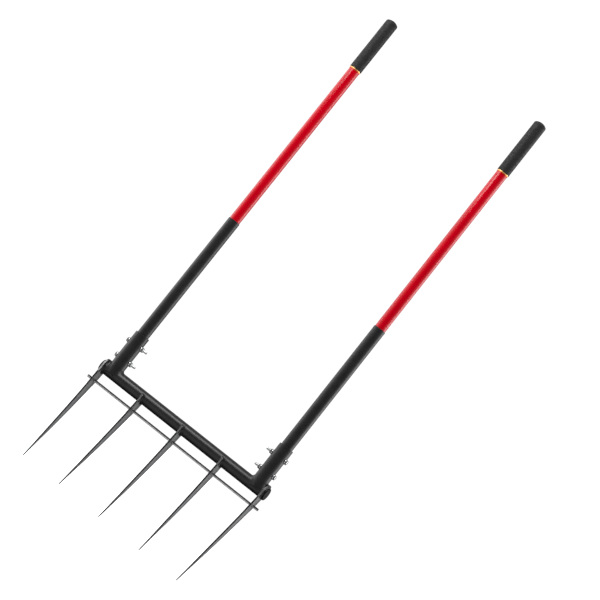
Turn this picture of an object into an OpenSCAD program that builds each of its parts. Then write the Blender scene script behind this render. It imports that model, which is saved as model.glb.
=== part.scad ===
// Lawn aerator fork: a two-handled broadfork with five pointed tines on a tubular crossbar.
// Millimetres. +X runs along the crossbar, -Y is the front, where the tines reach, and +Z runs up
// the handles. The origin is the middle of the fork's bounding box, level with the tine tips.

/* [Crossbar] */
// Outside diameter of the crossbar tube
bar_d = 38.1; // [36:0.1:38.2]
// Wall of the crossbar tube
bar_wall = 3; // [2:0.1:5]
// Length of crossbar beyond the middle of each outer tine
bar_overhang = 6.35; // [5:0.05:20]
// Thickness of an end cap's flange at its edge
cap_flange = 3.2; // [2.5:0.1:6]
// How far an end cap's flange stands proud of the crossbar tube
cap_lip = 0.8; // [0:0.1:2]
// Length of an end cap's plug inside the crossbar
cap_plug = 15; // [8:1:25]
// Wall of an end cap's plug
cap_wall = 2; // [1.5:0.1:4]

/* [Tines] */
// Distance from one tine to the next along the crossbar
tine_pitch = 152.4; // [151:0.1:170]
// Thickness of the plate that the tines are cut from
tine_plate = 4.76; // [4:0.01:6]
// Depth of the tine tips below the crossbar's centre line
tine_drop = 340; // [280:1:400]
// How far the tine tips reach in front of the tine heads
tine_reach = 84; // [40:1:100]
// Shape of the forward sweep: 1 is straight, and a larger value bends more towards the tip
tine_sweep = 1.3; // [1:0.05:1.8]
// Width of the steel round the crossbar in a tine's head
head_rim = 7.5; // [5:0.1:9]
// Depth of the shoulder, where the taper starts, below the crossbar's centre line
shoulder_drop = 20; // [17:1:23]
// Angle above the centre line at which an inner tine's front horn ends, in degrees
front_horn_angle = 4; // [1:1:30]
// Angle below the centre line at which an inner tine's back horn ends, in degrees
back_horn_angle = 12; // [1:1:25]
// Front-to-back width of a tine at its tip
tip_width = 1.6; // [1:0.1:4]
// Thickness of a tine at its tip
tip_thickness = 3.2; // [1:0.1:3.9]
// Length over which a tine thins to its tip
point_length = 110; // [40:1:200]
// Lean of the outer tines towards the middle, in degrees
toe_in = 2.4; // [0:0.1:3]

/* [Brace rod] */
// Diameter of the rod through the tines
rod_d = 8; // [6:0.1:10]
// Depth of the rod below the crossbar's centre line
rod_drop = 49; // [42:1:60]
// Distance of the rod in front of the crossbar's centre line
rod_forward = 12; // [5:1:18]
// Length of rod beyond the middle of each outer tine
rod_overhang = 20; // [8:0.5:30]

/* [Sockets] */
// Distance between the two handles' centre lines
handle_spacing = 548; // [500:1:550]
// Outside diameter of a handle socket
socket_d = 46.5; // [46.3:0.05:48]
// Wall of a handle socket
socket_wall = 3.95; // [3.5:0.05:4.05]
// Height of a socket's rim above the crossbar's centre line
socket_height = 140; // [125:1:160]
// How far a socket's cheeks reach down below the crossbar's centre line
cheek_drop = 4; // [1:0.5:8]

/* [Handles] */
// Outside diameter of a handle sleeve
sleeve_d = 38.1; // [38:0.05:38.2]
// Wall of a handle sleeve
sleeve_wall = 1.5; // [1.2:0.05:1.5]
// Height of a sleeve's top above the crossbar's centre line
sleeve_top = 567; // [300:1:700]
// Outside diameter of a fibreglass shaft
shaft_d = 34.9; // [33:0.05:34.9]
// Wall of a fibreglass shaft
shaft_wall = 4; // [3:0.1:6]
// Height of a core plug's top above the crossbar's centre line
core_top = 165; // [120:1:250]
// Height of a grip's closed end above the crossbar's centre line
handle_height = 1323; // [1100:1:1500]

/* [Grips] */
// Outside diameter of a grip
grip_d = 39.5; // [38:0.1:42]
// Length of a grip
grip_length = 183; // [120:1:220]
// Thickness of a grip's closed end
grip_end = 9; // [8:0.5:14]
// Radius of the crown on a grip's closed end
grip_crown = 30; // [28:1:80]
// Radius of the edge round a grip's closed end
grip_round = 7; // [2:0.5:8]
// Outside diameter of a trim ring
trim_d = 36.6; // [36:0.1:38]
// Height of a trim ring
trim_height = 6; // [3:0.5:10]

/* [Fasteners] */
// Diameter of the bolts
bolt_d = 7.94; // [6:0.01:8]
// Length of a bolt under its head
bolt_length = 69.85; // [64:0.05:80]
// Height of the lower bolts above the crossbar's centre line
lower_bolt_height = 51; // [45:1:60]
// Height of the upper bolts above the crossbar's centre line
upper_bolt_height = 105; // [90:1:112]
// Width of a bolt head and of a nut across the flats
hex_flats = 12.7; // [12:0.1:14]
// Height of a bolt head
head_height = 5.4; // [4:0.1:7]
// Height of a nut
nut_height = 6.8; // [5:0.1:8]
// Outside diameter of a washer
washer_d = 17.5; // [16:0.1:20]
// Thickness of a washer
washer_height = 1.6; // [1:0.1:2.5]

/* [Hidden] */

$fn = 96;
left = -1;
right = 1;

// Gaps between pieces that touch: a weld's root, a slip fit, and a drilled hole round its bolt
root_gap = 0.05;
slip_gap = 0.05;
drill_gap = 0.2;
// Edge breaks on tubes and bars, and on washers
edge_break = 0.5;
washer_break = 0.2;
// How far a cutting shape runs past what it cuts
overcut = 1;
// Straight steps along each edge of a blade, and the degrees in one step of an arc
edge_steps = 24;
arc_step = 6;
// A hexagon's sides, its corner radius, and how its end faces are turned down
hex_sides = 6;
hex_r = hex_flats / 2 / cos(180 / hex_sides);
hex_face_share = 0.95;
hex_face_r = hex_face_share * hex_flats / 2;
hex_bevel = 30;

bar_r = bar_d / 2;
head_r = bar_r + head_rim;
outer_tine_x = 2 * tine_pitch;
bar_end = outer_tine_x + bar_overhang;
rod_end = outer_tine_x + rod_overhang;
socket_r = socket_d / 2;
sleeve_r = sleeve_d / 2;
sleeve_bore_r = sleeve_r - sleeve_wall;
shaft_r = shaft_d / 2;
core_r = shaft_r - shaft_wall - slip_gap;
sleeve_foot = bar_r + overcut;
shaft_foot = sleeve_foot + overcut;
shaft_top = handle_height - grip_end - slip_gap;
grip_foot = handle_height - grip_length;
bolt_r = bolt_d / 2;
washer_x = socket_r + root_gap;
seat_x = washer_x + washer_height + root_gap;

// The crossbar's centre line: a head reaches as far back as forward, so the reach centres the box
bar_y = tine_reach / 2;
bar_z = tine_drop;

// Front edge of a blade at a depth below the crossbar's centre line
function blade_front(depth) = -head_r - tine_reach * pow(depth / tine_drop, tine_sweep);

// Back of the shoulder, where the head's circle meets the blade
function shoulder_back() = sqrt(pow(head_r, 2) - pow(shoulder_drop, 2));

// Front-to-back width of a blade at a depth, tapering evenly from the shoulder to the tip
function blade_width(depth) =
  let (
    shoulder_width = shoulder_back() - blade_front(shoulder_drop),
    share = (depth - shoulder_drop) / (tine_drop - shoulder_drop)
  )
  shoulder_width + (tip_width - shoulder_width) * share;

// The unit vector that points at an angle, in degrees
function towards(angle) = [cos(angle), sin(angle)];

// Points on an arc from one angle to another, in degrees
function arc(centre, radius, from, to) =
  let (count = max(1, ceil(abs(to - from) / arc_step)))
  [for (i = [0 : count])
    let (angle = from + (to - from) * i / count)
    centre + radius * towards(angle)];

// The blade's two long edges as [y, z] points: down the back, then up the front
function blade_edges() = concat(
  [for (i = [1 : edge_steps])
    let (depth = shoulder_drop + (tine_drop - shoulder_drop) * i / edge_steps)
    [blade_front(depth) + blade_width(depth), -depth]],
  [for (i = [edge_steps : -1 : 1])
    let (depth = tine_drop * i / edge_steps)
    [blade_front(depth), -depth]]
);

// Profile points of a crowned end, from its side to its middle, for turning round an axis
function crowned(radius, top, crown, edge) =
  let (
    run = radius - edge,
    drop = crown - sqrt(pow(crown - edge, 2) - pow(run, 2)),
    meet = acos(run / (crown - edge))
  )
  concat(
    arc([run, top - drop], edge, 0, meet),
    arc([0, top - crown], crown, meet, 90)
  );

// A plate cut to its child's outline, square to Z and halved by it
module plate(thickness = tine_plate) {
  linear_extrude(thickness, center = true)
    children();
}

// A tine's blade, from inside the head's circle to the tip
module blade() {
  root = [[overcut - head_r, 0], [shoulder_back() - overcut, -shoulder_drop]];
  plate()
    polygon(concat(root, blade_edges()));
}

// A tine's head that is an eye right round the crossbar
module eye() {
  plate()
    circle(r = head_r);
}

// An open head that saddles the crossbar from below, with a horn in front and one behind
module saddle() {
  front = 180 - front_horn_angle;
  back = -back_horn_angle;
  far = 2 * head_r;
  difference() {
    eye();
    plate(tine_plate + overcut)
      polygon([[0, 0], far * towards(front), [-far, far], [far, far], far * towards(back)]);
  }
  for (horn = [front, back])
    translate((bar_r + head_rim / 2) * towards(horn))
      plate()
        circle(r = head_rim / 2);
}

// Turns pieces that are built along Z to lie along X
module along_x() {
  rotate([0, 90, 0])
    children();
}

// A solid bar along Z with broken end edges
module bar(radius, bottom, top, broken = edge_break) {
  rotate_extrude()
    polygon([
      [0, bottom], [radius - broken, bottom], [radius, bottom + broken],
      [radius, top - broken], [radius - broken, top], [0, top]
    ]);
}

// A tube along Z with broken outside edges
module tube(outer, inner, bottom, top, broken = edge_break) {
  rotate_extrude()
    polygon([
      [inner, bottom], [outer - broken, bottom], [outer, bottom + broken],
      [outer, top - broken], [outer - broken, top], [inner, top]
    ]);
}

// A hexagonal prism along Z, with its corners turned down at the top, and at the bottom if asked
module hexagon(bottom, top, both_ends) {
  rim = hex_r + overcut;
  bevel = (rim - hex_face_r) * tan(hex_bevel);
  foot = both_ends ? [[hex_face_r, bottom], [rim, bottom + bevel]] : [[rim, bottom]];
  intersection() {
    translate([0, 0, bottom])
      cylinder(r = hex_r, h = top - bottom, $fn = hex_sides);
    rotate_extrude()
      polygon(concat([[0, bottom]], foot, [[rim, top - bevel], [hex_face_r, top], [0, top]]));
  }
}

// Puts children on the crossbar's centre line, at a distance along it
module on_bar(x) {
  translate([x, bar_y, bar_z])
    children();
}

// Puts children on a handle's centre line, mirrored so that +X is always the outer side
module on_handle(side) {
  on_bar(0)
    mirror([side == left ? 1 : 0, 0, 0])
      translate([handle_spacing / 2, 0, 0])
        children();
}

// The two holes that the bolts pass through in each layer of a handle's foot
module bolt_holes() {
  for (height = [lower_bolt_height, upper_bolt_height])
    translate([0, 0, height])
      along_x()
        cylinder(r = bolt_r + drill_gap, h = socket_d + overcut, center = true);
}

module crossbar_tube() {
  color([0.13, 0.13, 0.14])
    on_bar(0)
      along_x()
        tube(bar_r, bar_r - bar_wall, -bar_end, bar_end);
}

// A cap with a hollow plug inside the crossbar and a crowned flange over its end
module end_cap(side) {
  plug_r = bar_r - bar_wall - slip_gap;
  flange_r = bar_r + cap_lip;
  flange_edge = cap_flange - edge_break;
  crown = 2 * bar_d;
  crown_rise = crown - sqrt(pow(crown, 2) - pow(flange_r, 2));
  color([0.1, 0.1, 0.1])
    on_bar(0)
      mirror([side == left ? 1 : 0, 0, 0])
        translate([bar_end, 0, 0])
          along_x()
            rotate_extrude()
              polygon(concat(
                [[0, 0], [plug_r - cap_wall, 0], [plug_r - cap_wall, -cap_plug]],
                [[plug_r, -cap_plug], [plug_r, root_gap], [flange_r, root_gap]],
                crowned(flange_r, cap_flange + crown_rise, crown, flange_edge)
              ));
}

// A blade under its child, the head, at x along the crossbar, leaning in degrees about Y
module tine(x, lean) {
  thinning = (tine_plate - tip_thickness) / 2 / point_length;
  height = tine_drop + head_r + overcut;
  reach = 2 * (tine_reach + head_r + overcut);
  foot_half = tip_thickness / 2;
  top_half = foot_half + thinning * height;
  color([0.42, 0.42, 0.43])
    on_bar(x)
      difference() {
        rotate([0, lean, 0])
          intersection() {
            rotate([90, 0, 90])
              union() {
                blade();
                children();
              }
            rotate([90, 0, 0])
              linear_extrude(reach, center = true)
                polygon([
                  [-foot_half, -tine_drop], [foot_half, -tine_drop],
                  [top_half, height - tine_drop], [-top_half, height - tine_drop]
                ]);
          }
        along_x()
          cylinder(r = bar_r + root_gap, h = tine_pitch, center = true);
        translate([0, -rod_forward, -rod_drop])
          along_x()
            cylinder(r = rod_d / 2 + root_gap, h = tine_pitch, center = true);
      }
}

module left_outer_tine() {
  tine(-outer_tine_x, -toe_in)
    eye();
}

module left_inner_tine() {
  tine(-tine_pitch, 0)
    saddle();
}

module centre_tine() {
  tine(0, 0)
    saddle();
}

module right_inner_tine() {
  tine(tine_pitch, 0)
    saddle();
}

module right_outer_tine() {
  tine(outer_tine_x, toe_in)
    eye();
}

module brace_rod() {
  color([0.72, 0.72, 0.73])
    on_bar(0)
      translate([0, -rod_forward, -rod_drop])
        along_x()
          bar(rod_d / 2, -rod_end, rod_end);
}

// A short tube whose foot is coped to sit astride the crossbar
module socket(side) {
  color([0.14, 0.14, 0.15])
    on_handle(side)
      difference() {
        tube(socket_r, socket_r - socket_wall, -cheek_drop, socket_height);
        along_x()
          cylinder(r = bar_r + root_gap, h = 2 * socket_d, center = true);
        bolt_holes();
      }
}

module sleeve(side) {
  color([0.13, 0.13, 0.14])
    on_handle(side)
      difference() {
        tube(sleeve_r, sleeve_bore_r, sleeve_foot, sleeve_top);
        bolt_holes();
      }
}

module shaft(side) {
  color([0.78, 0.05, 0.12])
    on_handle(side)
      difference() {
        tube(shaft_r, shaft_r - shaft_wall, shaft_foot, shaft_top);
        bolt_holes();
      }
}

// A plug that stops the bolts from crushing the hollow shaft
module core_plug(side) {
  color([0.72, 0.55, 0.36])
    on_handle(side)
      difference() {
        bar(core_r, shaft_foot, core_top);
        bolt_holes();
      }
}

module trim_ring(side) {
  color([0.85, 0.6, 0.15])
    on_handle(side)
      tube(trim_d / 2, shaft_r + slip_gap, grip_foot - trim_height, grip_foot - root_gap);
}

// A rubber cup pulled down over the shaft's end
module grip(side) {
  grip_r = grip_d / 2;
  bore_r = shaft_r + slip_gap;
  color([0.2, 0.2, 0.21])
    on_handle(side)
      rotate_extrude()
        polygon(concat(
          [[bore_r, grip_foot], [grip_r - edge_break, grip_foot], [grip_r, grip_foot + edge_break]],
          crowned(grip_r, handle_height, grip_crown, grip_round),
          [[0, handle_height - grip_end], [bore_r, handle_height - grip_end]]
        ));
}

// A bolt with its head on the handle's outer side
module bolt(side, height) {
  color([0.78, 0.79, 0.8])
    on_handle(side)
      translate([0, 0, height])
        along_x() {
          bar(bolt_r, seat_x - bolt_length, seat_x + head_height / 2, 2 * edge_break);
          hexagon(seat_x, seat_x + head_height, false);
        }
}

module nut(side, height) {
  color([0.78, 0.79, 0.8])
    on_handle(side)
      translate([0, 0, height])
        along_x()
          difference() {
            hexagon(-seat_x - nut_height, -seat_x, true);
            cylinder(r = bolt_r + slip_gap, h = bolt_length * 2, center = true);
          }
}

// A washer on the outer side, or on the inner side under the nut
module washer(side, height, outer_side) {
  near = outer_side ? washer_x : -washer_x - washer_height;
  color([0.74, 0.75, 0.76])
    on_handle(side)
      translate([0, 0, height])
        along_x()
          tube(washer_d / 2, bolt_r + drill_gap, near, near + washer_height, washer_break);
}

crossbar_tube();
end_cap(left);  // left_end_cap
end_cap(right);  // right_end_cap
left_outer_tine();
left_inner_tine();
centre_tine();
right_inner_tine();
right_outer_tine();
brace_rod();
socket(left);  // left_socket
socket(right);  // right_socket
sleeve(left);  // left_sleeve
sleeve(right);  // right_sleeve
shaft(left);  // left_shaft
shaft(right);  // right_shaft
core_plug(left);  // left_core_plug
core_plug(right);  // right_core_plug
trim_ring(left);  // left_trim_ring
trim_ring(right);  // right_trim_ring
grip(left);  // left_grip
grip(right);  // right_grip
bolt(left, lower_bolt_height);  // left_lower_bolt
bolt(left, upper_bolt_height);  // left_upper_bolt
bolt(right, lower_bolt_height);  // right_lower_bolt
bolt(right, upper_bolt_height);  // right_upper_bolt
nut(left, lower_bolt_height);  // left_lower_nut
nut(left, upper_bolt_height);  // left_upper_nut
nut(right, lower_bolt_height);  // right_lower_nut
nut(right, upper_bolt_height);  // right_upper_nut
washer(left, lower_bolt_height, true);  // left_lower_head_washer
washer(left, upper_bolt_height, true);  // left_upper_head_washer
washer(right, lower_bolt_height, true);  // right_lower_head_washer
washer(right, upper_bolt_height, true);  // right_upper_head_washer
washer(left, lower_bolt_height, false);  // left_lower_nut_washer
washer(left, upper_bolt_height, false);  // left_upper_nut_washer
washer(right, lower_bolt_height, false);  // right_lower_nut_washer
washer(right, upper_bolt_height, false);  // right_upper_nut_washer
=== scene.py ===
"""Looks for the lawn aerator fork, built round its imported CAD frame.

Metres, in the CAD's own frame: +X along the crossbar, -Y the front, +Z up the handles.
The CAD nodes keep their shape and get new materials. Bolts and nuts are replaced by threaded
ones, and the weld beads that join the steel parts are added.
"""

import itertools
import math

import bpy
import numpy as np
from mathutils import Matrix, Vector


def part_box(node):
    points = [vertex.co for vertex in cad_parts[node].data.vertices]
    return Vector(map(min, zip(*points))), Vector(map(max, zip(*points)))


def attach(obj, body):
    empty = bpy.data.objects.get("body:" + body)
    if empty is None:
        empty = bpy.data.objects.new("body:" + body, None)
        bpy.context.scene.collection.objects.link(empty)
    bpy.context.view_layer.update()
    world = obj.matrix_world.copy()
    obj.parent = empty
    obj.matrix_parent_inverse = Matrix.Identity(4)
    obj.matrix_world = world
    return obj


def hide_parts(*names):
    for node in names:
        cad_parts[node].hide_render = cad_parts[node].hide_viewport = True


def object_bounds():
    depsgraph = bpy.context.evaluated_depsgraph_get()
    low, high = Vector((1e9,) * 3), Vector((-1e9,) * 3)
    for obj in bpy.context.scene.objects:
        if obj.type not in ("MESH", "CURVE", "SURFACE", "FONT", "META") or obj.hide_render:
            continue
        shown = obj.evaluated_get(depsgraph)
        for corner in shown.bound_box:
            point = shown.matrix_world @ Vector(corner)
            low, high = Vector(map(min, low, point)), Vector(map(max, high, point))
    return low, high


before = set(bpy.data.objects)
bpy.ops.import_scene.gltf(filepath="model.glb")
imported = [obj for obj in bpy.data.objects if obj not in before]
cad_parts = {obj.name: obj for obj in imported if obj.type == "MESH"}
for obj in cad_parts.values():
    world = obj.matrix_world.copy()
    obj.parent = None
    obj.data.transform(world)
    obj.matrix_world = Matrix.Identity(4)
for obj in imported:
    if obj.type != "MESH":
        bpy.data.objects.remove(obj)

cad_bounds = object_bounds()

BODY = "root"
MM = 0.001


# ---------------------------------------------------------------- places from the frame

def middle(cad_node):
    """Centre of a CAD node's box."""
    low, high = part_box(cad_node)
    return (low + high) / 2


def radius(cad_node, axis):
    """Half of a CAD node's box along an axis: 0 is X, 1 is Y, 2 is Z."""
    low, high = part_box(cad_node)
    return (high[axis] - low[axis]) / 2


BAR = middle("crossbar_tube")
BAR_R = radius("crossbar_tube", 2)
BAR_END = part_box("crossbar_tube")[1].x
SOCKET = middle("right_socket")
SOCKET_R = radius("right_socket", 0)
SOCKET_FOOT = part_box("right_socket")[0].z
ROD = middle("brace_rod")
ROD_R = radius("brace_rod", 2)
PLATE_HALF = radius("centre_tine", 0)
INNER_TINES = ("left_inner_tine", "centre_tine", "right_inner_tine")
PITCH = middle("right_inner_tine").x - middle("centre_tine").x

# The tine heads, as the CAD makes them: the steel round the bar, the horns' ends, the outer lean
HEAD_RIM = 7.5 * MM
HEAD_R = BAR_R + HEAD_RIM
FRONT_HORN = math.radians(180 - 4)
BACK_HORN = math.radians(360 - 12)
TOE_IN = math.radians(2.4)

# The blades, as the CAD makes them: the sweep's power, and their width at the bar and the tip
BLADE_SWEEP = 1.3
BLADE_ROOT = 46 * MM
BLADE_TIP = 1.6 * MM


# ---------------------------------------------------------------- small helpers

def add_mesh(name, points, faces, finish, sharp=None):
    """Makes a smooth named piece that rides on the fork; sharp is its crease angle in degrees."""
    mesh = bpy.data.meshes.new(name)
    mesh.from_pydata([tuple(p) for p in points], [], [tuple(f) for f in faces])
    mesh.polygons.foreach_set("use_smooth", [True] * len(mesh.polygons))
    if sharp is not None:
        mesh.set_sharp_from_angle(angle=math.radians(sharp))
    mesh.validate()
    mesh.materials.append(finish)
    piece = bpy.data.objects.new(name, mesh)
    bpy.context.scene.collection.objects.link(piece)
    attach(piece, BODY)
    return piece


def loft(rings, closed=False):
    """Faces that join rings of equal length in turn; closed also joins the last to the first."""
    count = len(rings[0])
    points = [p for ring in rings for p in ring]
    faces = []
    for i in range(len(rings) if closed else len(rings) - 1):
        a, b = i * count, (i + 1) % len(rings) * count
        for j in range(count):
            k = (j + 1) % count
            faces.append((a + j, b + j, b + k, a + k))
    if not closed:
        faces.append(tuple(range(count)))
        faces.append(tuple(range(len(points) - count, len(points)))[::-1])
    return points, faces


# ---------------------------------------------------------------- threaded fasteners

THREAD_PITCH = 25.4 / 18 * MM
THREAD_DEPTH = 0.55 * THREAD_PITCH
THREAD_LENGTH = 24 * MM
THREAD_RUN_OUT = 1.5 * THREAD_PITCH
THREAD_PLAY = 0.06 * MM
STEPS_PER_TURN = 9
BOLT_R = 7.94 / 2 * MM
BOLT_HEAD = 5.4 * MM
TIP_CHAMFER = 1.1 * MM
NUT_MOUTH = 0.5 * MM
RING_POINTS = 48
FASTENER_CREASE = 32

# A thread's height by the distance from a crest's middle, in pitches, cut off at 0 and 1
THREAD_CREST = 1.15
THREAD_FLANK = 2.6

# The hexagons: the end face's share of the flats, the slope and rings of the bevel round it, and
# the round face under a bolt's head with the sharp step behind it
HEX_SIDES = 6
HEAD_FACE = 0.95
HEAD_BEVEL = math.tan(math.radians(30))
BEVEL_STEPS = 6
WASHER_FACE = 0.3 * MM
WASHER_FACE_STEP = 0.31 * MM


def thread_radius(along, turn):
    """Radius of the bolt's thread at a distance from its tip and a share of a turn."""
    phase = (along / THREAD_PITCH - turn) % 1
    groove = min(1, max(0, THREAD_CREST - THREAD_FLANK * abs(phase - 0.5)))
    fade = min(1, max(0, (THREAD_LENGTH - along) / THREAD_RUN_OUT))
    return BOLT_R - THREAD_DEPTH * (1 - groove) * fade


def hex_radius(flats_r, turn):
    """Radius of a hexagon at a share of a turn, with a corner at the start."""
    side = (turn * HEX_SIDES + 0.5) % 1 - 0.5
    return flats_r / math.cos((0.5 - abs(side)) * 2 * math.pi / HEX_SIDES)


def turned_ring(to_frame, along, radius_at):
    """One ring of points round a fastener's axis, at a distance from its tip."""
    ring = []
    for i in range(RING_POINTS):
        turn = i / RING_POINTS
        size, angle = radius_at(turn), 2 * math.pi * turn
        ring.append(to_frame @ Vector((along, size * math.sin(angle), size * math.cos(angle))))
    return ring


def hex_bevel(flats_r, depth):
    """Radius round a hexagon at a depth below a turned-down end face."""
    cone = HEAD_FACE * flats_r + depth / HEAD_BEVEL
    return lambda turn: min(hex_radius(flats_r, turn), cone)


def bevel_depths(flats_r):
    """Depths of the rings that draw a turned-down hexagon's curved edges."""
    deepest = (hex_radius(flats_r, 0) - HEAD_FACE * flats_r) * HEAD_BEVEL
    return [deepest * i / BEVEL_STEPS for i in range(BEVEL_STEPS + 1)]


def bolt_tip(bolt, side):
    """X of a bolt's tip. The tips point at the middle of the fork."""
    low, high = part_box(bolt)
    return low.x if side > 0 else high.x


def fastener_frame(side, tip_x, cad_node):
    """Turns a fastener built from its tip towards +X into its place on a handle."""
    centre = middle(cad_node)
    turn = Matrix.Identity(4) if side > 0 else Matrix.Rotation(math.pi, 4, "Z")
    return Matrix.Translation((tip_x, centre.y, centre.z)) @ turn


def add_fastener(name, shape, finish):
    """Adds a fastener's mesh in the place of its plain CAD node."""
    points, faces = shape
    piece = add_mesh(name + "_threaded", points, faces, finish, sharp=FASTENER_CREASE)
    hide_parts(name)


def make_bolt(name, side, finish):
    """A hex bolt with a rolled thread, in the place of its plain CAD node."""
    low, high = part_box(name)
    length = high.x - low.x
    seat = length - BOLT_HEAD
    to_frame = fastener_frame(side, bolt_tip(name, side), name)
    flats_r = radius(name, 1)
    steps = round(THREAD_LENGTH / THREAD_PITCH * STEPS_PER_TURN)
    rings = []
    for i in range(steps + 1):
        along = THREAD_LENGTH * i / steps
        cone = BOLT_R - TIP_CHAMFER + along
        rings.append(turned_ring(to_frame, along, lambda t: min(cone, thread_radius(along, t))))
    rings.append(turned_ring(to_frame, seat, lambda t: BOLT_R))
    rings.append(turned_ring(to_frame, seat, lambda t: HEAD_FACE * flats_r))
    rings.append(turned_ring(to_frame, seat + WASHER_FACE, lambda t: HEAD_FACE * flats_r))
    rings.append(turned_ring(to_frame, seat + WASHER_FACE_STEP, lambda t: hex_radius(flats_r, t)))
    for depth in reversed(bevel_depths(flats_r)):
        rings.append(turned_ring(to_frame, length - depth, hex_bevel(flats_r, depth)))
    add_fastener(name, loft(rings), finish)


def nut_bore(along, inset, turn):
    """Radius of a nut's threaded bore, which opens out within NUT_MOUTH of a face."""
    thread = thread_radius(along, turn) + THREAD_PLAY
    opening = NUT_MOUTH - inset
    return max(BOLT_R + opening, thread) if opening > 0 else thread


def make_nut(name, bolt_name, side, finish):
    """A hex nut whose bore is threaded to fit its bolt, in the place of its plain CAD node."""
    low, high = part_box(name)
    tip_x = bolt_tip(bolt_name, side)
    start = low.x - tip_x if side > 0 else tip_x - high.x
    height = high.x - low.x
    to_frame = fastener_frame(side, tip_x, name)
    flats_r = radius(name, 1)
    rings = []
    for depth in bevel_depths(flats_r):
        rings.append(turned_ring(to_frame, start + depth, hex_bevel(flats_r, depth)))
    for depth in reversed(bevel_depths(flats_r)):
        rings.append(turned_ring(to_frame, start + height - depth, hex_bevel(flats_r, depth)))
    steps = round(height / THREAD_PITCH * STEPS_PER_TURN)
    for i in range(steps + 1):
        inset = height * (steps - i) / steps
        along, nearest = start + inset, min(inset, height - inset)
        rings.append(turned_ring(to_frame, along, lambda t: nut_bore(along, nearest, t)))
    add_fastener(name, loft(rings, closed=True), finish)


# ---------------------------------------------------------------- weld beads

# Steps of the grids that the welds are meshed on, and the room left round each weld
WELD_STEP = 0.55 * MM
ROD_WELD_STEP = 0.35 * MM
WELD_MARGIN = 4 * MM
ROD_WELD_MARGIN = 1 * MM

# The fillets' sizes: a socket's narrows to a share of this where the tubes run side by side
SOCKET_FILLET = 10 * MM
NARROWEST_FILLET = 0.32
PLATE_FILLET = 7 * MM
EDGE_FILLET = 3.4 * MM
ROD_FILLET = 3.2 * MM

# How far a bead may run, as a share of its fillet, and where it stops short of the bar's end
FILLET_REACH = 1.05
BAR_END_GAP = 0.1 * MM

# How deep a bead goes under the surfaces that it joins, and how far its edges dip under them
WELD_SKIN = 0.9 * MM
WELD_TOE = 0.12 * MM

# Ripples: their pitch and height, and the lengths of the slow waves that keep them from matching
RIPPLE_PITCH = 2.6 * MM
RIPPLE_HEIGHT = 0.24 * MM
RIPPLE_WANDER = 0.8 * MM
WANDER_WAVES = (5.1 * MM, 2.3 * MM)
HEIGHT_WAVE = 7.7 * MM
CRESCENT = 0.5
RIPPLE_RISE = 4

# Where ripples start and are full, as a share of the fillet: BEAD_GAIN * share - BEAD_START
BEAD_GAIN = 2.5
BEAD_START = 0.75

# Moves on to the true surface: how many, the least slope squared, and the longest in steps
SETTLE_ROUNDS = 2
FLATTEST_SLOPE = 0.1
LONGEST_MOVE = 5


def tube_field(point, centre, size, axes):
    """Distance outside a cylinder whose axis runs across the two axes given."""
    a, b = axes
    return np.hypot(point[..., a] - centre[a], point[..., b] - centre[b]) - size


def plate_across(point, x, lean):
    """Distance from the middle plane of a tine's plate, which leans about the bar."""
    return (point[..., 0] - x) * math.cos(lean) - (point[..., 2] - BAR.z) * math.sin(lean)


def horn_field(point):
    """Distance outside the curved band of an open tine head, seen along the bar."""
    y, z = point[..., 1] - BAR.y, point[..., 2] - BAR.z
    angle = np.arctan2(z, y) % (2 * math.pi)
    gap_middle = (FRONT_HORN + BACK_HORN - 2 * math.pi) / 2
    angle = np.where(angle < gap_middle, BACK_HORN, np.clip(angle, FRONT_HORN, BACK_HORN))
    band = BAR_R + HEAD_RIM / 2
    return np.hypot(y - band * np.cos(angle), z - band * np.sin(angle)) - HEAD_RIM / 2


def ripples(travel, across):
    """Height of the crescent ripples that a welder leaves, from how far along the bead."""
    wander = np.sin(travel / WANDER_WAVES[0]) + np.sin(travel / WANDER_WAVES[1] + 1)
    phase = ((travel + RIPPLE_WANDER * wander) / RIPPLE_PITCH + CRESCENT * across ** 2) % 1
    height = RIPPLE_HEIGHT * (0.75 + 0.25 * np.sin(travel / HEIGHT_WAVE + 2))
    return height * (1 - phase) * np.minimum(1, RIPPLE_RISE * phase)


def weld(shapes, fillet, travel):
    """Field of the weld where shapes meet: a fillet, rippled, with a thin skin under it."""
    ordered = np.sort(np.stack(shapes), axis=0)
    near, gaps = ordered[0], ordered[1:] - ordered[0]
    shares = np.clip(1 - gaps / fillet, 0, 1)
    bead = np.clip(BEAD_GAIN * shares[0] - BEAD_START, 0, 1) * ripples(travel, shares[0])
    fill = near - (shares ** 2).sum(axis=0) * fillet / 4 - bead + WELD_TOE
    return np.maximum.reduce([fill, -near - WELD_SKIN, gaps[0] - FILLET_REACH * fillet])


def window(field, start, shape):
    """The part of a field that starts at a corner and has a shape."""
    return field[tuple(slice(s, s + n) for s, n in zip(start, shape))]


def net_points(field):
    """One point in each grid cell that the surface passes through, and each cell's index."""
    shape = tuple(n - 1 for n in field.shape)
    total, count = np.zeros((*shape, 3)), np.zeros(shape)
    for axis in range(3):
        for corner in itertools.product((0, 1), repeat=2):
            start = np.insert(corner, axis, 0)
            step = np.eye(3, dtype=int)[axis]
            a, b = window(field, start, shape), window(field, start + step, shape)
            crossed = (a < 0) != (b < 0)
            share = np.where(crossed, a / np.where(crossed, a - b, 1), 0)
            total += crossed[..., None] * (start + share[..., None] * step)
            count += crossed
    used = count > 0
    index = np.full(shape, -1)
    index[used] = np.arange(used.sum())
    return np.argwhere(used) + total[used] / count[used][:, None], index


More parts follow.
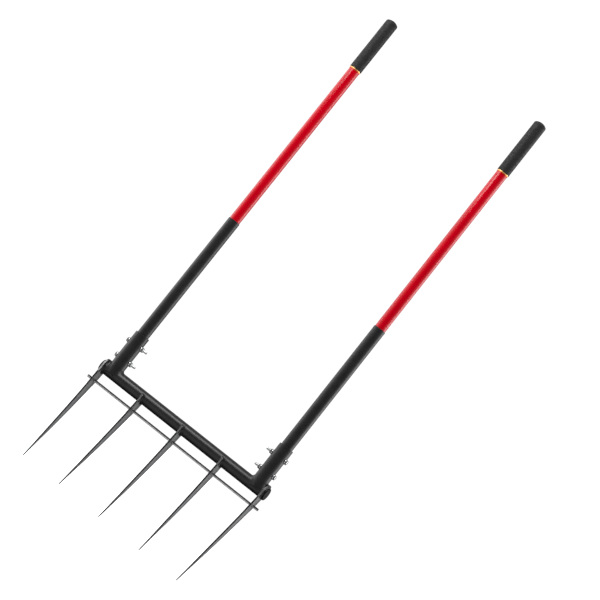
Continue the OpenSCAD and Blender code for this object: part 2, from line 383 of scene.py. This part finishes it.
def net_faces(field, index):
    """A quad for each grid edge that the surface crosses, wound to face outwards."""
    faces = []
    for axis in range(3):
        b, c = np.roll(np.eye(3, dtype=int), -axis - 1, axis=0)[:2]
        shape = tuple(np.array(field.shape) - 1 - b - c)
        step = np.eye(3, dtype=int)[axis]
        low = window(field, b + c, shape)
        high = window(field, b + c + step, shape)
        crossed = (low < 0) != (high < 0)
        at = np.argwhere(crossed) + b + c
        quad = np.stack([index[tuple((at - d).T)] for d in (0 * b, b, b + c, c)], axis=1)
        outward = (low < 0)[crossed]
        quad[~outward] = quad[~outward][:, ::-1]
        faces.append(quad)
    return np.concatenate(faces)


def settle(points, field, step):
    """Moves points on to the true surface of a field, by Newton's method."""
    longest = LONGEST_MOVE * step
    for _ in range(SETTLE_ROUNDS):
        value = field(points)
        slope = np.stack([
            (field(points + step * axis) - field(points - step * axis)) / (2 * step)
            for axis in np.eye(3)
        ], axis=1)
        size = np.maximum((slope ** 2).sum(1), FLATTEST_SLOPE)
        move = slope * (value / size)[:, None]
        points = points - np.clip(move, -longest, longest)
    return points


def add_weld(name, field, low, high, step, finish):
    """Meshes a weld field inside a box, as one piece."""
    axes = [np.arange(a, b, step) for a, b in zip(low, high)]
    grid = np.stack(np.meshgrid(*axes, indexing="ij"), axis=-1)
    sampled = field(grid)
    cells, index = net_points(sampled)
    points = settle(np.array(low) + step * cells, field, step / 10)
    return add_mesh(name, points, net_faces(sampled, index), finish)


def tube_opening(point, side):
    """How far the socket and the bar stand open to each other: 1 square on, less side by side."""
    x, y, z = point[..., 0] - SOCKET.x * side, point[..., 1] - BAR.y, point[..., 2] - BAR.z
    alike = y ** 2 / np.maximum(np.hypot(x, y) * np.hypot(y, z), MM ** 2)
    return np.maximum(NARROWEST_FILLET, np.sqrt(np.clip(1 - alike ** 2, 0, 1)))


def socket_weld_field(side):
    """The weld round one socket's foot and the outer tine's eye, up to the crossbar's end."""
    tine_x = 2 * PITCH * side

    def field(point):
        bar = tube_field(point, BAR, BAR_R, (1, 2))
        socket = tube_field(point, (SOCKET.x * side, BAR.y), SOCKET_R, (0, 1))
        socket = np.maximum(socket, SOCKET_FOOT - point[..., 2])
        across = plate_across(point, tine_x, TOE_IN * side)
        plate = np.maximum(np.abs(across) - PLATE_HALF, bar - HEAD_RIM)
        outside = across * side > 0
        socket_fillet = SOCKET_FILLET * tube_opening(point, side)
        inner_fillet = np.where(socket < plate, socket_fillet, PLATE_FILLET)
        fillet = np.where(outside, EDGE_FILLET, inner_fillet)
        turn = np.arctan2(point[..., 1] - BAR.y, point[..., 0] - SOCKET.x * side)
        bead = weld([bar, socket, plate], fillet, turn * SOCKET_R)
        return np.maximum(bead, point[..., 0] * side - BAR_END + BAR_END_GAP)

    return field


def tine_weld_field(x):
    """The two welds that join an inner tine's head to the bar."""

    def field(point):
        bar = tube_field(point, BAR, BAR_R, (1, 2))
        plate = np.maximum(np.abs(point[..., 0] - x) - PLATE_HALF, horn_field(point))
        turn = np.arctan2(point[..., 2] - BAR.z, point[..., 1] - BAR.y)
        return weld([bar, plate], PLATE_FILLET, turn * BAR_R)

    return field


def rod_weld_field(x, lean):
    """The small welds where the rod passes through a tine."""

    def field(point):
        rod = tube_field(point, ROD, ROD_R, (1, 2))
        plate = np.abs(plate_across(point, x, lean)) - PLATE_HALF
        turn = np.arctan2(point[..., 2] - ROD.z, point[..., 1] - ROD.y)
        return weld([rod, plate], ROD_FILLET, turn * ROD_R)

    return field


def box_round(centre, half):
    """Lowest and highest corner of a box from its centre and half sizes."""
    centre, half = np.array(centre), np.array(half)
    return centre - half, centre + half


def make_welds(paint, steel):
    """Every weld on the fork's head."""
    for side, word in ((-1, "left"), (1, "right")):
        inner = SOCKET.x - SOCKET_R - SOCKET_FILLET - WELD_MARGIN
        centre = ((inner + BAR_END) / 2 * side, BAR.y, BAR.z)
        half = ((BAR_END - inner) / 2, HEAD_R + WELD_MARGIN, HEAD_R + WELD_MARGIN)
        low, high = box_round(centre, half)
        high[2] += SOCKET_FILLET
        outer = low if side < 0 else high
        outer[0] += 2 * WELD_STEP * side
        field = socket_weld_field(side)
        add_weld(word + "_socket_weld", field, low, high, WELD_STEP, paint)
    for tine in INNER_TINES:
        x = middle(tine).x
        across = PLATE_HALF + PLATE_FILLET + WELD_MARGIN
        half = (across, HEAD_R + WELD_MARGIN, HEAD_R + WELD_MARGIN)
        low, high = box_round((x, BAR.y, BAR.z), half)
        add_weld(tine + "_weld", tine_weld_field(x), low, high, WELD_STEP, paint)
    drop = BAR.z - ROD.z
    reach = ROD_R + ROD_FILLET + ROD_WELD_MARGIN
    across = PLATE_HALF + ROD_FILLET + ROD_WELD_MARGIN
    for number, pitches in enumerate((-2, -1, 0, 1, 2), 1):
        lean = TOE_IN * np.sign(pitches) if abs(pitches) == 2 else 0
        x = PITCH * pitches
        centre = (x - drop * math.tan(lean), ROD.y, ROD.z)
        low, high = box_round(centre, (across, reach, reach))
        field = rod_weld_field(x, lean)
        add_weld(f"rod_weld_{number}", field, low, high, ROD_WELD_STEP, steel)


# ---------------------------------------------------------------- material helpers

def new_material(name):
    """A material with its node tree and its surface shader."""
    material = bpy.data.materials.new(name)
    material.use_nodes = True
    return material, material.node_tree, material.node_tree.nodes["Principled BSDF"]


def put(tree, target, value):
    """Links a socket, or sets a plain value."""
    if isinstance(value, bpy.types.NodeSocket):
        tree.links.new(value, target)
    else:
        target.default_value = value


def node(tree, kind, inputs=(), **settings):
    """Adds a node, with its settings and its inputs by name or number."""
    made = tree.nodes.new("ShaderNode" + kind)
    for key, value in settings.items():
        setattr(made, key, value)
    for key, value in dict(inputs).items():
        put(tree, made.inputs[key], value)
    return made


def row_point(tree, stretch=(1, 1, 1)):
    """Coordinates in the row frame, in metres, stretched along each axis."""
    coordinates = node(tree, "TexCoord").outputs["Object"]
    scaled = node(tree, "VectorMath", {0: coordinates, 1: stretch}, operation="MULTIPLY")
    return scaled.outputs[0]


def noise(tree, where, scale, detail=3, rough=0.55):
    """A noise value from 0 to 1 with a scale in cycles to the metre."""
    made = node(tree, "TexNoise", {"Vector": where, "Scale": scale, "Detail": detail,
                                   "Roughness": rough})
    return made.outputs["Fac"]


def spread(tree, value, low, high, start=0.3, end=0.7):
    """Maps a value's span from start to end on to low to high."""
    made = node(tree, "MapRange", {"Value": value, "From Min": start, "From Max": end,
                                   "To Min": low, "To Max": high})
    return made.outputs["Result"]


def arith(tree, operation, a, b):
    """One arithmetic step on two values."""
    return node(tree, "Math", {0: a, 1: b}, operation=operation).outputs[0]


def component(tree, direction, axis):
    """How much of a direction points along an axis."""
    made = node(tree, "VectorMath", {0: direction, 1: axis}, operation="DOT_PRODUCT")
    return made.outputs["Value"]


def mix_value(tree, share, a, b):
    """Blends two values by a share from 0 to 1."""
    return node(tree, "Mix", {0: share, 2: a, 3: b}, data_type="FLOAT").outputs[0]


def mix_colour(tree, share, a, b):
    """Blends two colours by a share from 0 to 1."""
    made = node(tree, "Mix", data_type="RGBA")
    put(tree, made.inputs["Factor"], share)
    put(tree, made.inputs[6], a if isinstance(a, bpy.types.NodeSocket) else (*a, 1))
    put(tree, made.inputs[7], b if isinstance(b, bpy.types.NodeSocket) else (*b, 1))
    return made.outputs[2]


def relief(tree, height, depth, strength=1.0, below=None):
    """A bumped normal from a height value and its depth in metres."""
    made = node(tree, "Bump", {"Height": height, "Distance": depth, "Strength": strength})
    if below is not None:
        put(tree, made.inputs["Normal"], below)
    return made.outputs["Normal"]


def edge_share(tree, size):
    """How close the surface is to a sharp edge: 0 on open faces and 1 on the edge itself."""
    bevel = node(tree, "Bevel", {"Radius": size}, samples=4).outputs[0]
    true = node(tree, "NewGeometry").outputs["Normal"]
    return spread(tree, component(tree, bevel, true), 1, 0, 0.75, 0.97)


# ---------------------------------------------------------------- materials

PAINT_BLACK = (0.0155, 0.0155, 0.016)
PAINT_SPECULAR = 0.35
CUT_EDGE_DARKNESS = 0.96

# Where a finish starts and ends its change: X in tine pitches, the normal's Z, and a share of the
# trim ring's height
# The left outer tine, whose rim gets the lightest painted highlight
LEFT_OUTER_TINE = (-1.6, -1.4)
# The rod's painted shade on its upper side fades in between these values of the normal's Z
TOP_SHADE_EDGE = (-0.26, -0.08)
TRIM_BAND = (0.3, 0.6)


def grey(value):
    """A neutral colour."""
    return value, value, value


def powder_coat():
    """Black powder coat: orange peel, faint mottling and rubbed edges."""
    material, tree, surface = new_material("black_powder_coat")
    where = row_point(tree)
    mottle = spread(tree, noise(tree, where, 40, 4), 0, 1)
    base = mix_colour(tree, mottle, PAINT_BLACK, (0.0225, 0.0225, 0.023))
    scuffs = spread(tree, noise(tree, where, 900, 2), 0, 1, 0.45, 0.6)
    worn = arith(tree, "MULTIPLY", edge_share(tree, 1.0 * MM), scuffs)
    rubbed = arith(tree, "MULTIPLY", worn, 0.35)
    put(tree, surface.inputs["Base Color"], mix_colour(tree, rubbed, base, (0.09, 0.09, 0.092)))
    put(tree, surface.inputs["Roughness"], spread(tree, noise(tree, where, 120, 3), 0.25, 0.33))
    put(tree, surface.inputs["Specular IOR Level"], PAINT_SPECULAR)
    peel = relief(tree, noise(tree, where, 700, 2), 0.12 * MM, 0.35)
    grit = relief(tree, noise(tree, where, 3200, 1), 0.03 * MM, 0.35, peel)
    put(tree, surface.inputs["Normal"], grit)
    return material


def cap_plastic():
    """Moulded black plastic with a fine satin grain."""
    material, tree, surface = new_material("moulded_cap_plastic")
    where = row_point(tree)
    cloud = spread(tree, noise(tree, where, 90, 3), 0, 1)
    put(tree, surface.inputs["Base Color"],
        mix_colour(tree, cloud, grey(0.006), grey(0.012)))
    put(tree, surface.inputs["Roughness"], spread(tree, noise(tree, where, 260, 2), 0.26, 0.36))
    put(tree, surface.inputs["Specular IOR Level"], 0.06)
    put(tree, surface.inputs["Normal"], relief(tree, noise(tree, where, 2600, 2), 0.04 * MM, 0.5))
    return material


def blade_share(tree, forward, height):
    """How far back a point is across a blade: 0 on its front edge and about 1 on its back."""
    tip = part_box("centre_tine")[0]
    depth = spread(tree, height, 1, 0, 0, BAR.z)
    curve = arith(tree, "POWER", depth, BLADE_SWEEP)
    swept = arith(tree, "MULTIPLY", curve, tip.y - BAR.y + HEAD_R)
    front = arith(tree, "ADD", swept, BAR.y - HEAD_R)
    width = spread(tree, depth, BLADE_ROOT, BLADE_TIP, 0, 1)
    return arith(tree, "DIVIDE", arith(tree, "SUBTRACT", forward, front), width)


def bare_blade(tree, where, grain):
    """Colour of a blade's steel: pale towards the front of its faces, dark on the cut edges."""
    cloud = spread(tree, noise(tree, where, 45, 4), 0, 1)
    steel = mix_colour(tree, cloud, (0.125, 0.127, 0.131), (0.20, 0.202, 0.207))
    steel = mix_colour(tree, spread(tree, grain, 0, 0.5), steel, (0.28, 0.28, 0.288))
    axes = node(tree, "SeparateXYZ", {0: where})
    share = blade_share(tree, axes.outputs["Y"], axes.outputs["Z"])
    ragged = arith(tree, "ADD", share, spread(tree, noise(tree, where, 120, 3), -0.12, 0.12))
    scale = spread(tree, ragged, 0, 0.7, 0.45, 0.75)
    steel = mix_colour(tree, scale, steel, (0.07, 0.071, 0.074))
    dark_cut_edge = arith(tree, "MULTIPLY", cut_edge(tree), CUT_EDGE_DARKNESS)
    return mix_colour(tree, dark_cut_edge, steel, (0.008, 0.008, 0.0085))


def cut_edge(tree):
    """1 on the edges of the plate and 0 on its two faces."""
    across = component(tree, node(tree, "NewGeometry").outputs["Normal"], (1, 0, 0))
    return spread(tree, arith(tree, "ABSOLUTE", across, 0), 1, 0, 0.3, 0.8)


def worn_and_highlit_rim(tree, where, painted):
    """Where a head's rim is lighter, on the part that faces forwards: worn paint, with a painted
    highlight.
    """
    forwards = component(tree, node(tree, "NewGeometry").outputs["Normal"], (0, -1, 0))
    rim = arith(tree, "MULTIPLY", cut_edge(tree), spread(tree, forwards, 0, 1, 0.45, 0.75))
    patches = spread(tree, noise(tree, where, 330, 3), 0.6, 1, 0.35, 0.5)
    return arith(tree, "MULTIPLY", arith(tree, "MULTIPLY", rim, painted), patches)


def tine_steel():
    """Plate steel, brushed down the blade, with black paint on the head.

    The heads' rims are lighter, as worn paint with a painted highlight, and the left outer one is
    lightest, a painted highlight from the light on the left.
    """
    material, tree, surface = new_material("tine_plate_steel")
    where = row_point(tree)
    grain = noise(tree, row_point(tree, (1, 1, 0.03)), 1500, 3)
    axes = node(tree, "SeparateXYZ", {0: where})
    wander = spread(tree, noise(tree, where, 260, 3), -0.6 * MM, 0.6 * MM)
    line = arith(tree, "ADD", axes.outputs["Z"], wander)
    paint_foot = BAR.z - BAR_R
    painted = spread(tree, line, 0, 1, paint_foot - 2.0 * MM, paint_foot + 0.5 * MM)
    finish = mix_colour(tree, painted, bare_blade(tree, where, grain), PAINT_BLACK)
    # Painted highlight: the rims' light grey is lightest on the left outer tine, as if lit from
    # the left
    left_start, left_end = (PITCH * pitches for pitches in LEFT_OUTER_TINE)
    left = spread(tree, axes.outputs["X"], 1, 0, left_start, left_end)
    bright = mix_colour(tree, left, grey(0.12), grey(0.36))
    put(tree, surface.inputs["Base Color"],
        mix_colour(tree, worn_and_highlit_rim(tree, where, painted), finish, bright))
    put(tree, surface.inputs["Metallic"], spread(tree, painted, 0.75, 0, 0, 1))
    steel_rough = spread(tree, grain, 0.36, 0.48)
    put(tree, surface.inputs["Roughness"], mix_value(tree, painted, steel_rough, 0.36))
    put(tree, surface.inputs["Specular IOR Level"], mix_value(tree, painted, 0.5, PAINT_SPECULAR))
    scratches = relief(tree, grain, 0.05 * MM, 0.5)
    pits = relief(tree, noise(tree, where, 900, 2), 0.06 * MM, 0.3, scratches)
    put(tree, surface.inputs["Normal"], pits)
    return material


def rod_steel():
    """Bright drawn bar with fine lines along it, and painted shade in near black on its upper
    side.
    """
    material, tree, surface = new_material("drawn_rod_steel")
    lines = noise(tree, row_point(tree, (0.02, 1, 1)), 2400, 3)
    cloud = spread(tree, noise(tree, row_point(tree), 60, 3), 0, 1)
    tone = mix_colour(tree, cloud, (0.80, 0.80, 0.81), grey(0.92))
    tone = mix_colour(tree, spread(tree, lines, 0, 0.35), tone, (0.55, 0.55, 0.56))
    normal = node(tree, "NewGeometry").outputs["Normal"]
    upward = node(tree, "SeparateXYZ", {0: normal}).outputs["Z"]
    ragged = spread(tree, noise(tree, row_point(tree), 300, 3), -0.15, 0.15)
    # Painted shade: the side that faces up is painted near black, duller and less metallic
    top_shade = spread(tree, arith(tree, "ADD", upward, ragged), 0, 0.97, *TOP_SHADE_EDGE)
    put(tree, surface.inputs["Base Color"], mix_colour(tree, top_shade, tone, grey(0.012)))
    put(tree, surface.inputs["Metallic"], spread(tree, top_shade, 0.6, 0.0, 0, 1))
    put(tree, surface.inputs["Specular IOR Level"], spread(tree, top_shade, 0.5, 0.1, 0, 1))
    put(tree, surface.inputs["Roughness"], spread(tree, lines, 0.30, 0.44))
    put(tree, surface.inputs["Normal"], relief(tree, lines, 0.03 * MM, 0.5))
    return material


def red_fibreglass():
    """Glossy red fibreglass, with strands along the shaft."""
    material, tree, surface = new_material("glossy_red_fibreglass")
    strands = noise(tree, row_point(tree, (1, 1, 0.012)), 1300, 4)
    cloud = spread(tree, noise(tree, row_point(tree, (1, 1, 0.3)), 30, 3), 0, 1)
    red = mix_colour(tree, cloud, (0.53, 0.0005, 0.0095), (0.62, 0.0007, 0.012))
    put(tree, surface.inputs["Base Color"],
        mix_colour(tree, spread(tree, strands, 0, 0.3), red, (0.45, 0.0004, 0.007)))
    put(tree, surface.inputs["Roughness"], spread(tree, strands, 0.09, 0.15))
    put(tree, surface.inputs["Normal"], relief(tree, strands, 0.02 * MM, 0.25))
    return material


def grip_rubber():
    """Matt moulded rubber with a pebbled skin and handled patches."""
    material, tree, surface = new_material("pebbled_grip_rubber")
    where = row_point(tree)
    cells = node(tree, "TexVoronoi", {"Vector": where, "Scale": 1100.0},
                 feature="SMOOTH_F1").outputs["Distance"]
    cloud = spread(tree, noise(tree, where, 130, 4, 0.6), 0, 1, 0.36, 0.64)
    tone = mix_colour(tree, cloud, grey(0.012), grey(0.026))
    put(tree, surface.inputs["Base Color"],
        mix_colour(tree, spread(tree, cells, 0, 0.4, 0.2, 0.7), tone, grey(0.008)))
    put(tree, surface.inputs["Roughness"], spread(tree, cloud, 0.58, 0.44, 0, 1))
    put(tree, surface.inputs["Specular IOR Level"], 0.22)
    pebbles = relief(tree, cells, 0.18 * MM, 0.55)
    put(tree, surface.inputs["Normal"],
        relief(tree, noise(tree, where, 320, 2), 0.15 * MM, 0.3, pebbles))
    return material


def trim_gold():
    """Gold foil trim with a soft brushed finish round the handle and an orange foot."""
    material, tree, surface = new_material("gold_trim_foil")
    brushed = noise(tree, row_point(tree, (0.15, 0.15, 1)), 2200, 3)
    gold = mix_colour(tree, spread(tree, brushed, 0, 1), (0.86, 0.46, 0.14), (0.95, 0.62, 0.26))
    low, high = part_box("left_trim_ring")
    height = node(tree, "SeparateXYZ", {0: row_point(tree)}).outputs["Z"]
    band_start, band_end = (low.z + share * (high.z - low.z) for share in TRIM_BAND)
    orange = spread(tree, height, 1, 0, band_start, band_end)
    put(tree, surface.inputs["Base Color"], mix_colour(tree, orange, gold, (0.80, 0.10, 0.015)))
    put(tree, surface.inputs["Metallic"], 0.7)
    put(tree, surface.inputs["Roughness"], spread(tree, brushed, 0.28, 0.42))
    put(tree, surface.inputs["Normal"], relief(tree, brushed, 0.03 * MM, 0.4))
    return material


def zinc():
    """Bright zinc plate with faint clouding and tool marks."""
    material, tree, surface = new_material("bright_zinc_plate")
    where = row_point(tree)
    cloud = spread(tree, noise(tree, where, 420, 4), 0, 1)
    put(tree, surface.inputs["Base Color"],
        mix_colour(tree, cloud, (0.74, 0.75, 0.77), (0.90, 0.90, 0.89)))
    put(tree, surface.inputs["Metallic"], 0.9)
    put(tree, surface.inputs["Roughness"], spread(tree, cloud, 0.24, 0.14, 0, 1))
    put(tree, surface.inputs["Normal"], relief(tree, noise(tree, where, 2600, 2), 0.02 * MM, 0.4))
    return material


def core_wood():
    """Hardwood plug with grain along it."""
    material, tree, surface = new_material("core_hardwood")
    grain = noise(tree, row_point(tree, (1, 1, 0.06)), 420, 5)
    put(tree, surface.inputs["Base Color"],
        mix_colour(tree, spread(tree, grain, 0, 1), (0.30, 0.17, 0.08), (0.55, 0.37, 0.20)))
    put(tree, surface.inputs["Roughness"], spread(tree, grain, 0.55, 0.75))
    put(tree, surface.inputs["Normal"], relief(tree, grain, 0.1 * MM, 0.5))
    return material


def make_materials():
    """The finish for each of the record's material slots."""
    return {
        "black_paint": powder_coat(),
        "cap_plastic": cap_plastic(),
        "tine_steel": tine_steel(),
        "rod_steel": rod_steel(),
        "red_fibreglass": red_fibreglass(),
        "grip_rubber": grip_rubber(),
        "trim_gold": trim_gold(),
        "zinc": zinc(),
        "core_wood": core_wood(),
    }


def dress_nodes(finishes):
    """Gives every CAD node the finish for its own material slot."""
    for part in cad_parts.values():
        for slot in part.material_slots:
            slot.material = finishes[slot.material.name.split(".")[0]]


# ---------------------------------------------------------------- camera, light and floor

VIEW_AZIMUTH = math.radians(17.8)
VIEW_ELEVATION = math.radians(-5.0)
VIEW_ROLL = math.radians(38.44)
VIEW_DISTANCE = 6.17
VIEW_HEIGHT = 0.5
SENSOR = 36.0
LENS = 128.66
SHIFT_X = 0.0138
SHIFT_Y = -0.0126

BACKDROP_STRENGTH = 1.05
FLOOR_GLOW = 1.1
FLOOR_RADIUS = 60.0
FLOOR_SIDES = 64
FLOOR_GAP = 0.2 * MM


def view_axes():
    """The camera's right, up and backward directions."""
    a, e = VIEW_AZIMUTH, VIEW_ELEVATION
    back = Vector((math.sin(a) * math.cos(e), -math.cos(a) * math.cos(e), math.sin(e)))
    right = Vector((math.cos(a), math.sin(a), 0))
    up = back.cross(right)
    turned_right = right * math.cos(VIEW_ROLL) + up * math.sin(VIEW_ROLL)
    turned_up = up * math.cos(VIEW_ROLL) - right * math.sin(VIEW_ROLL)
    return turned_right, turned_up, back


def add_camera():
    """A long lens from the right of the front, rolled so that the handles run up to the right."""
    right, up, back = view_axes()
    lens = bpy.data.cameras.new("camera")
    lens.sensor_width = SENSOR
    lens.lens = LENS
    lens.shift_x = SHIFT_X
    lens.shift_y = SHIFT_Y
    camera = bpy.data.objects.new("camera", lens)
    bpy.context.scene.collection.objects.link(camera)
    target = Vector((0, BAR.y, BAR.z + VIEW_HEIGHT))
    facing = Matrix((right, up, back)).transposed().to_4x4()
    camera.matrix_world = Matrix.Translation(target + back * VIEW_DISTANCE) @ facing
    bpy.context.scene.camera = camera


def add_softbox(name, turn, rise, distance, width, height, brightness, aim):
    """A rectangular soft light: turn is degrees to the camera's right, rise above level."""
    azimuth, elevation = VIEW_AZIMUTH + math.radians(turn), math.radians(rise)
    away = Vector((math.sin(azimuth) * math.cos(elevation),
                   -math.cos(azimuth) * math.cos(elevation), math.sin(elevation)))
    light = bpy.data.lights.new(name, "AREA")
    light.shape = "RECTANGLE"
    light.size, light.size_y = width, height
    light.energy = brightness * math.pi * width * height
    softbox = bpy.data.objects.new(name, light)
    bpy.context.scene.collection.objects.link(softbox)
    softbox.location = aim + away * distance
    softbox.rotation_mode = "QUATERNION"
    softbox.rotation_quaternion = away.to_track_quat("Z", "Y")


def add_lights():
    """A box above the camera, a fill high on the left, and a tall box on each side."""
    head = Vector((0, BAR.y, BAR.z + 0.1))
    middle_height = Vector((0, BAR.y, 0.9))
    add_softbox("top_box", turn=0, rise=60, distance=5.0,
                width=6.2, height=3.0, brightness=2.6, aim=head)
    add_softbox("left_fill", turn=-58, rise=36, distance=3.0,
                width=1.8, height=1.8, brightness=5.0, aim=middle_height)
    add_softbox("right_box", turn=100, rise=0, distance=2.6,
                width=1.9, height=3.6, brightness=2.8, aim=middle_height)
    add_softbox("left_box", turn=-108, rise=0, distance=3.0,
                width=2.2, height=3.6, brightness=1.4, aim=middle_height)


def add_world():
    """White behind the fork. Its reflections are dark by the camera and pale round the sides."""
    world = bpy.data.worlds.new("studio")
    world.use_nodes = True
    bpy.context.scene.world = world
    tree = world.node_tree
    tree.nodes.clear()
    direction = node(tree, "TexCoord").outputs["Generated"]
    facing = component(tree, direction, (math.sin(VIEW_AZIMUTH), -math.cos(VIEW_AZIMUTH), 0))
    rightward = component(tree, direction, (math.cos(VIEW_AZIMUTH), math.sin(VIEW_AZIMUTH), 0))
    height = component(tree, direction, (0, 0, 1))
    sides = spread(tree, facing, 0.95, 0.0, 0.1, 0.85)
    back = spread(tree, rightward, 0.8, 0.36, -0.3, 0.3)
    ring = mix_value(tree, spread(tree, facing, 1, 0, -0.4, -0.1), sides, back)
    below = spread(tree, facing, 0, 0.65, -0.05, 0.25)
    above = 0.3
    lower = mix_value(tree, spread(tree, height, 1, 0, -0.4, -0.05), ring, below)
    strength = mix_value(tree, spread(tree, height, 0, 1, 0.4, 0.8), lower, above)
    studio = node(tree, "Background", {"Color": (1, 1, 1, 1), "Strength": strength}).outputs[0]
    bright = {"Color": (1, 1, 1, 1), "Strength": BACKDROP_STRENGTH}
    backdrop = node(tree, "Background", bright).outputs[0]
    seen = node(tree, "LightPath").outputs["Is Camera Ray"]
    mixed = node(tree, "MixShader", {0: seen, 1: studio, 2: backdrop}).outputs[0]
    output = node(tree, "OutputWorld")
    put(tree, output.inputs["Surface"], mixed)


def floor_finish():
    """A matt white floor that photographs as bright as the backdrop."""
    material = bpy.data.materials.new("studio_floor")
    material.use_nodes = True
    tree = material.node_tree
    tree.nodes.clear()
    tone = mix_colour(tree, noise(tree, row_point(tree), 0.8), grey(0.84), grey(0.87))
    matt = node(tree, "BsdfDiffuse", {"Color": tone}).outputs[0]
    seen = node(tree, "LightPath").outputs["Is Camera Ray"]
    strength = arith(tree, "MULTIPLY", seen, FLOOR_GLOW)
    glow = node(tree, "Emission", {"Strength": strength}).outputs[0]
    both = node(tree, "AddShader", {0: matt, 1: glow}).outputs[0]
    put(tree, node(tree, "OutputMaterial").inputs["Surface"], both)
    return material


def add_floor():
    """A wide round floor, just below the tine tips."""
    mesh = bpy.data.meshes.new("studio_floor")
    angles = [2 * math.pi * i / FLOOR_SIDES for i in range(FLOOR_SIDES)]
    ring = [(FLOOR_RADIUS * math.cos(a), FLOOR_RADIUS * math.sin(a), 0) for a in angles]
    mesh.from_pydata(ring, [], [tuple(range(FLOOR_SIDES))])
    mesh.materials.append(floor_finish())
    floor = bpy.data.objects.new("studio_floor", mesh)
    floor.location.z = cad_bounds[0].z - FLOOR_GAP
    floor.visible_glossy = False
    floor.visible_diffuse = False
    floor.visible_shadow = False
    bpy.context.scene.collection.objects.link(floor)


# ---------------------------------------------------------------- the build

def build():
    """Dresses the CAD nodes, adds the new pieces and sets up the studio."""
    finishes = make_materials()
    dress_nodes(finishes)
    for side, word in ((-1, "left"), (1, "right")):
        for level in ("lower", "upper"):
            bolt = f"{word}_{level}_bolt"
            make_bolt(bolt, side, finishes["zinc"])
            make_nut(f"{word}_{level}_nut", bolt, side, finishes["zinc"])
    make_welds(finishes["black_paint"], finishes["tine_steel"])
    add_camera()
    add_lights()
    add_world()
    add_floor()
    bpy.context.scene.view_settings.view_transform = "Standard"


build()
